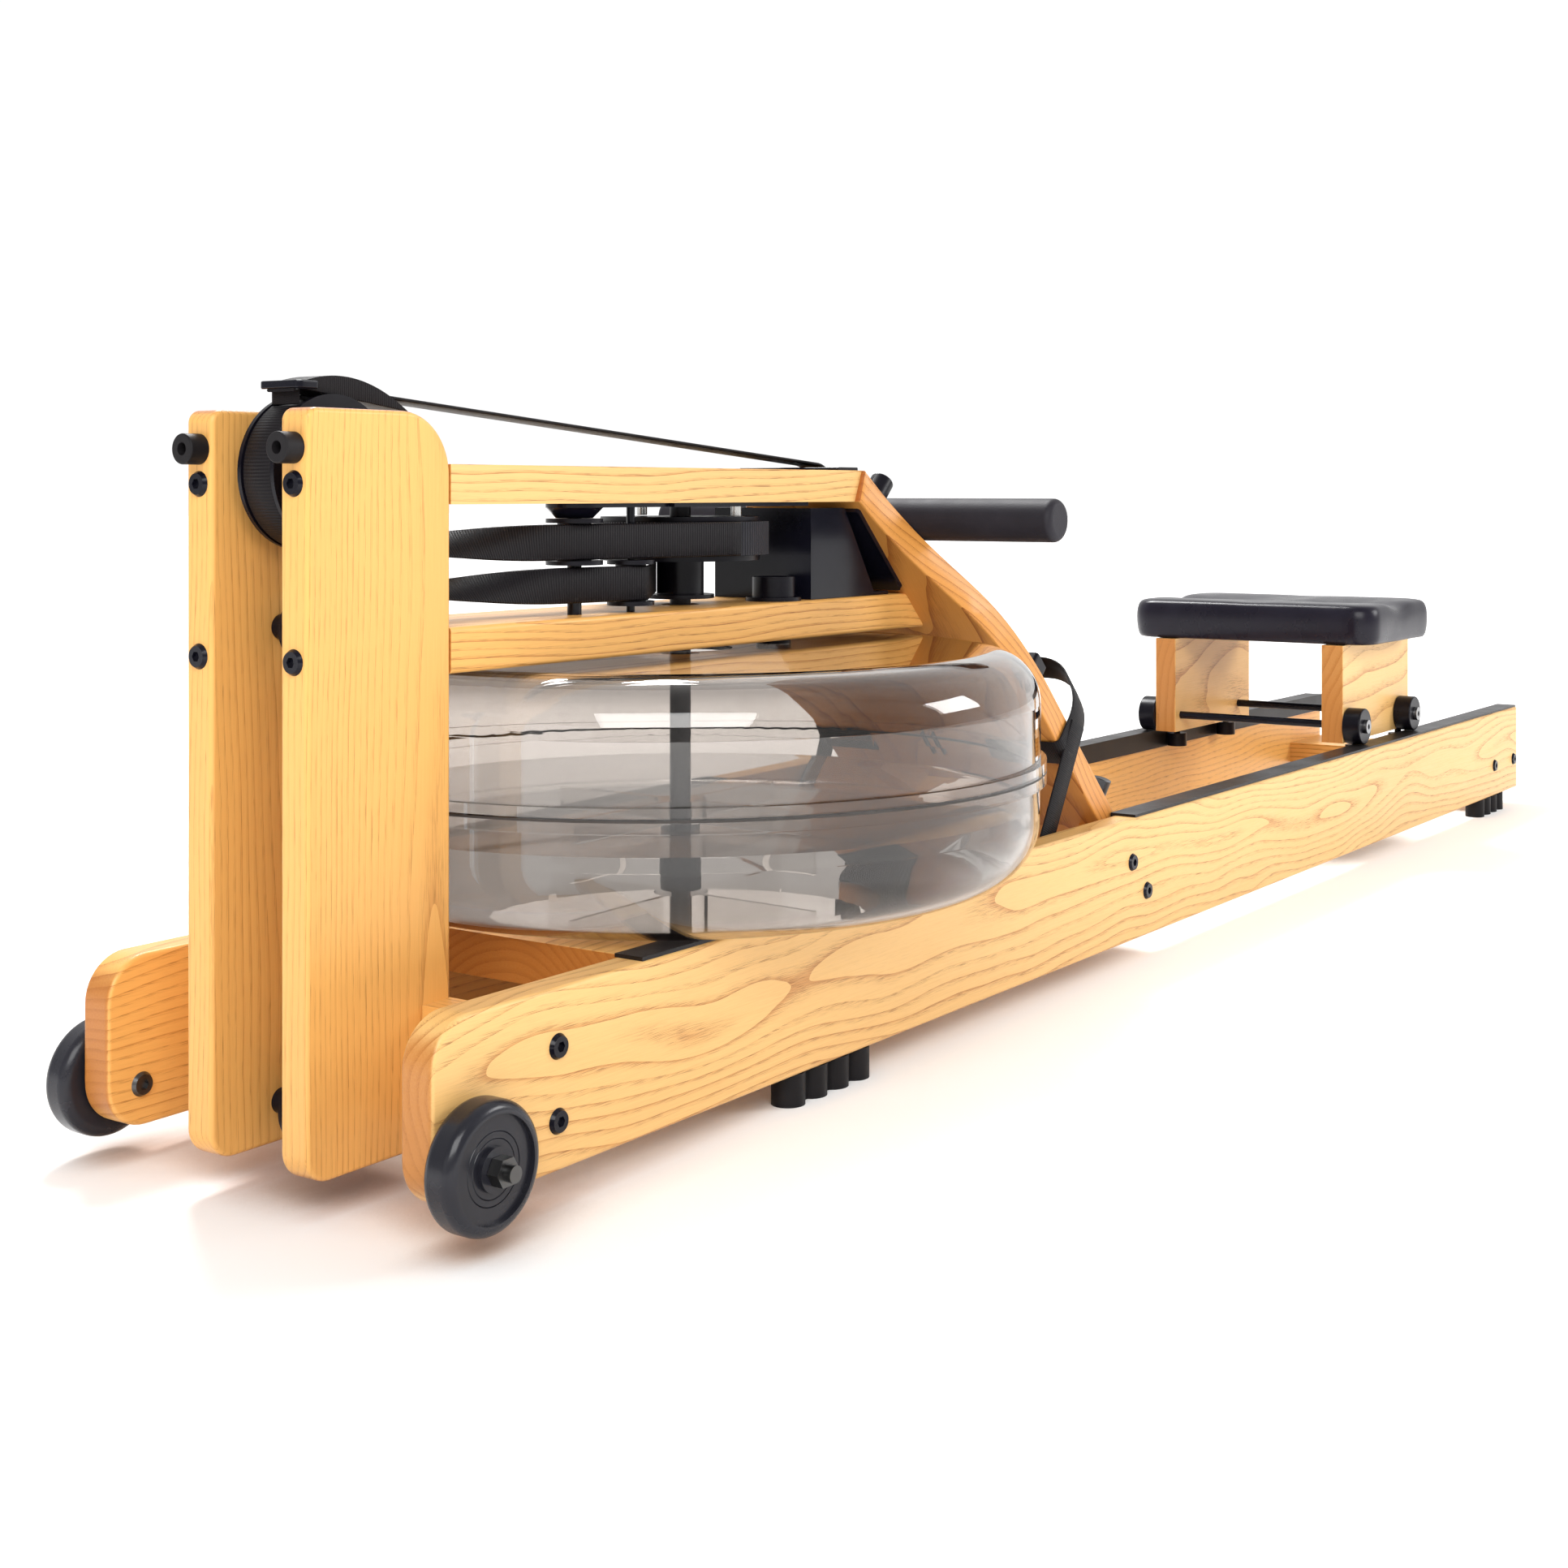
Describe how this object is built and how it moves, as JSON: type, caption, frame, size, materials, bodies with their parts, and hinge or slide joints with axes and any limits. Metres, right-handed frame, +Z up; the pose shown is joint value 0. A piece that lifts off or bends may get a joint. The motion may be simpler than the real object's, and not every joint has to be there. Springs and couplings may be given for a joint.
{
  "type": "rowing machine",
  "caption": "Water-tank rowing machine with a wooden rail frame, sloped footboard, sliding seat, strap-pulled handle and a clear round tank with a paddle.",
  "frame": {"origin": "middle of the bounding box at floor level", "axes": "+X from the front posts towards the rear end of the rails, +Y to the rower's right, +Z up"},
  "size_m": [2.103, 0.56, 0.504],
  "materials": {
    "wood": "satin oil on ash with open grain",
    "black_plastic": "moulded, fine grain",
    "rubber": "matte",
    "black_metal": "satin black coating",
    "steel": "turned",
    "smoked_clear": "clear polycarbonate, slightly smoked",
    "water": "clear",
    "webbing": "woven polyester webbing",
    "cord": "braided sleeve over rubber",
    "grip_foam": "foam rubber",
    "seat_vinyl": "moulded foam with a fine grained skin",
    "screen": "unlit display window"
  },
  "bodies": {
    "frame": {"left_rail": "wood", "right_rail": "wood", "left_post": "wood", "right_post": "wood", "top_bars": "wood", "drive_deck": "wood", "footboard": "wood", "footboard_cleats": "wood", "cross_boards": "wood", "tank_board": "wood", "rail_strips": "black_plastic", "recoil_fittings": "black_plastic", "handle_rests": "black_plastic", "monitor_case": "black_plastic", "strap_buckles": "black_plastic", "tank_plug": "black_plastic", "rubber_feet": "rubber", "tank_gasket": "rubber", "frame_bolts": "black_metal", "wheel_axles": "black_metal", "drive_bracket": "black_metal", "monitor_bracket": "black_metal", "roller_pins": "black_metal", "plate_nuts": "steel", "pulley_axles": "steel", "shaft_bearings": "steel", "tank_lower_shell": "smoked_clear", "tank_upper_shell": "smoked_clear", "water": "water", "drive_strap": "webbing", "recoil_strap": "webbing", "foot_straps": "webbing", "recoil_cord": "cord", "monitor_screen": "screen"},
    "handle": {"handle_core": "black_metal", "handle_grips": "grip_foam", "handle_strap": "webbing", "strap_ring": "black_metal", "payout_strap": "webbing"},
    "front_pulley": {"front_pulley": "black_plastic"},
    "drum": {"strap_drum": "black_plastic", "drum_winding": "webbing"},
    "guide_roller": {"guide_roller": "black_plastic"},
    "recoil_roller": {"recoil_roller": "black_plastic"},
    "recoil_pulley": {"recoil_pulley": "black_plastic"},
    "paddle": {"paddle_shaft": "steel", "paddle": "black_plastic"},
    "seat": {"seat_pad": "seat_vinyl", "seat_blocks": "wood", "seat_axles": "black_metal", "seat_axle_bolts": "steel", "side_guides": "black_plastic"},
    "front_left_seat_wheel": {"front_left_seat_wheel": "black_plastic"},
    "front_right_seat_wheel": {"front_right_seat_wheel": "black_plastic"},
    "rear_left_seat_wheel": {"rear_left_seat_wheel": "black_plastic"},
    "rear_right_seat_wheel": {"rear_right_seat_wheel": "black_plastic"},
    "left_transport_wheel": {"left_transport_wheel": "rubber"},
    "right_transport_wheel": {"right_transport_wheel": "rubber"},
    "left_heel_cup": {"left_heel_cup": "black_plastic"},
    "right_heel_cup": {"right_heel_cup": "black_plastic"}
  },
  "joints": [
    {"name": "handle_slide", "type": "slide", "parent": "frame", "child": "handle", "axis": [0.999, 0, -0.0436], "range_m": [0, 1], "stiffness_N_per_m": 30, "springref_m": -0.4, "deforming": ["payout_strap"]},
    {"name": "front_pulley_spin", "type": "hinge", "parent": "frame", "child": "front_pulley", "pos_m": [-0.9825, 0, 0.444], "axis": [0, 1, 0], "continuous": true},
    {"name": "drum_spin", "type": "hinge", "parent": "frame", "child": "drum", "pos_m": [-0.619, 0, 0.39], "axis": [0, 0, 1], "continuous": true},
    {"name": "guide_roller_spin", "type": "hinge", "parent": "frame", "child": "guide_roller", "pos_m": [-0.7705, -0.02563, 0.397], "axis": [0, 0, 1], "continuous": true},
    {"name": "recoil_roller_spin", "type": "hinge", "parent": "frame", "child": "recoil_roller", "pos_m": [-0.7205, -0.035, 0.367], "axis": [0, 0, 1], "continuous": true},
    {"name": "recoil_pulley_spin", "type": "hinge", "parent": "frame", "child": "recoil_pulley", "pos_m": [-0.9845, 0, 0.347], "axis": [0, 1, 0], "continuous": true},
    {"name": "paddle_spin", "type": "hinge", "parent": "frame", "child": "paddle", "pos_m": [-0.619, 0, 0.2], "axis": [0, 0, 1], "continuous": true},
    {"name": "seat_slide", "type": "slide", "parent": "frame", "child": "seat", "axis": [1, 0, 0], "range_m": [-0.53, 0.33]},
    {"name": "front_left_seat_wheel_spin", "type": "hinge", "parent": "seat", "child": "front_left_seat_wheel", "pos_m": [0.4895, -0.1308, 0.1577], "axis": [0, 1, 0], "continuous": true},
    {"name": "front_right_seat_wheel_spin", "type": "hinge", "parent": "seat", "child": "front_right_seat_wheel", "pos_m": [0.4895, 0.1308, 0.1577], "axis": [0, 1, 0], "continuous": true},
    {"name": "rear_left_seat_wheel_spin", "type": "hinge", "parent": "seat", "child": "rear_left_seat_wheel", "pos_m": [0.6655, -0.1308, 0.1577], "axis": [0, 1, 0], "continuous": true},
    {"name": "rear_right_seat_wheel_spin", "type": "hinge", "parent": "seat", "child": "rear_right_seat_wheel", "pos_m": [0.6655, 0.1308, 0.1577], "axis": [0, 1, 0], "continuous": true},
    {"name": "left_transport_wheel_spin", "type": "hinge", "parent": "frame", "child": "left_transport_wheel", "pos_m": [-1.0125, -0.169, 0.05], "axis": [0, 1, 0], "continuous": true},
    {"name": "right_transport_wheel_spin", "type": "hinge", "parent": "frame", "child": "right_transport_wheel", "pos_m": [-1.0125, 0.169, 0.05], "axis": [0, 1, 0], "continuous": true},
    {"name": "left_heel_cup_slide", "type": "slide", "parent": "frame", "child": "left_heel_cup", "axis": [-0.7071, 0, 0.7071], "range_m": [0, 0.055]},
    {"name": "right_heel_cup_slide", "type": "slide", "parent": "frame", "child": "right_heel_cup", "axis": [-0.7071, 0, 0.7071], "range_m": [0, 0.055]}
  ],
  "couplings": [
    {"joint": "front_pulley_spin", "follows": "handle_slide", "rad_per_m": 21.322},
    {"joint": "drum_spin", "follows": "handle_slide", "rad_per_m": -14.389},
    {"joint": "guide_roller_spin", "follows": "handle_slide", "rad_per_m": -74.627},
    {"joint": "recoil_roller_spin", "follows": "handle_slide", "rad_per_m": 22.511},
    {"joint": "recoil_pulley_spin", "follows": "handle_slide", "rad_per_m": 13.957},
    {"joint": "front_left_seat_wheel_spin", "follows": "seat_slide", "rad_per_m": 47.17},
    {"joint": "front_right_seat_wheel_spin", "follows": "seat_slide", "rad_per_m": 47.17},
    {"joint": "rear_left_seat_wheel_spin", "follows": "seat_slide", "rad_per_m": 47.17},
    {"joint": "rear_right_seat_wheel_spin", "follows": "seat_slide", "rad_per_m": 47.17}
  ]
}
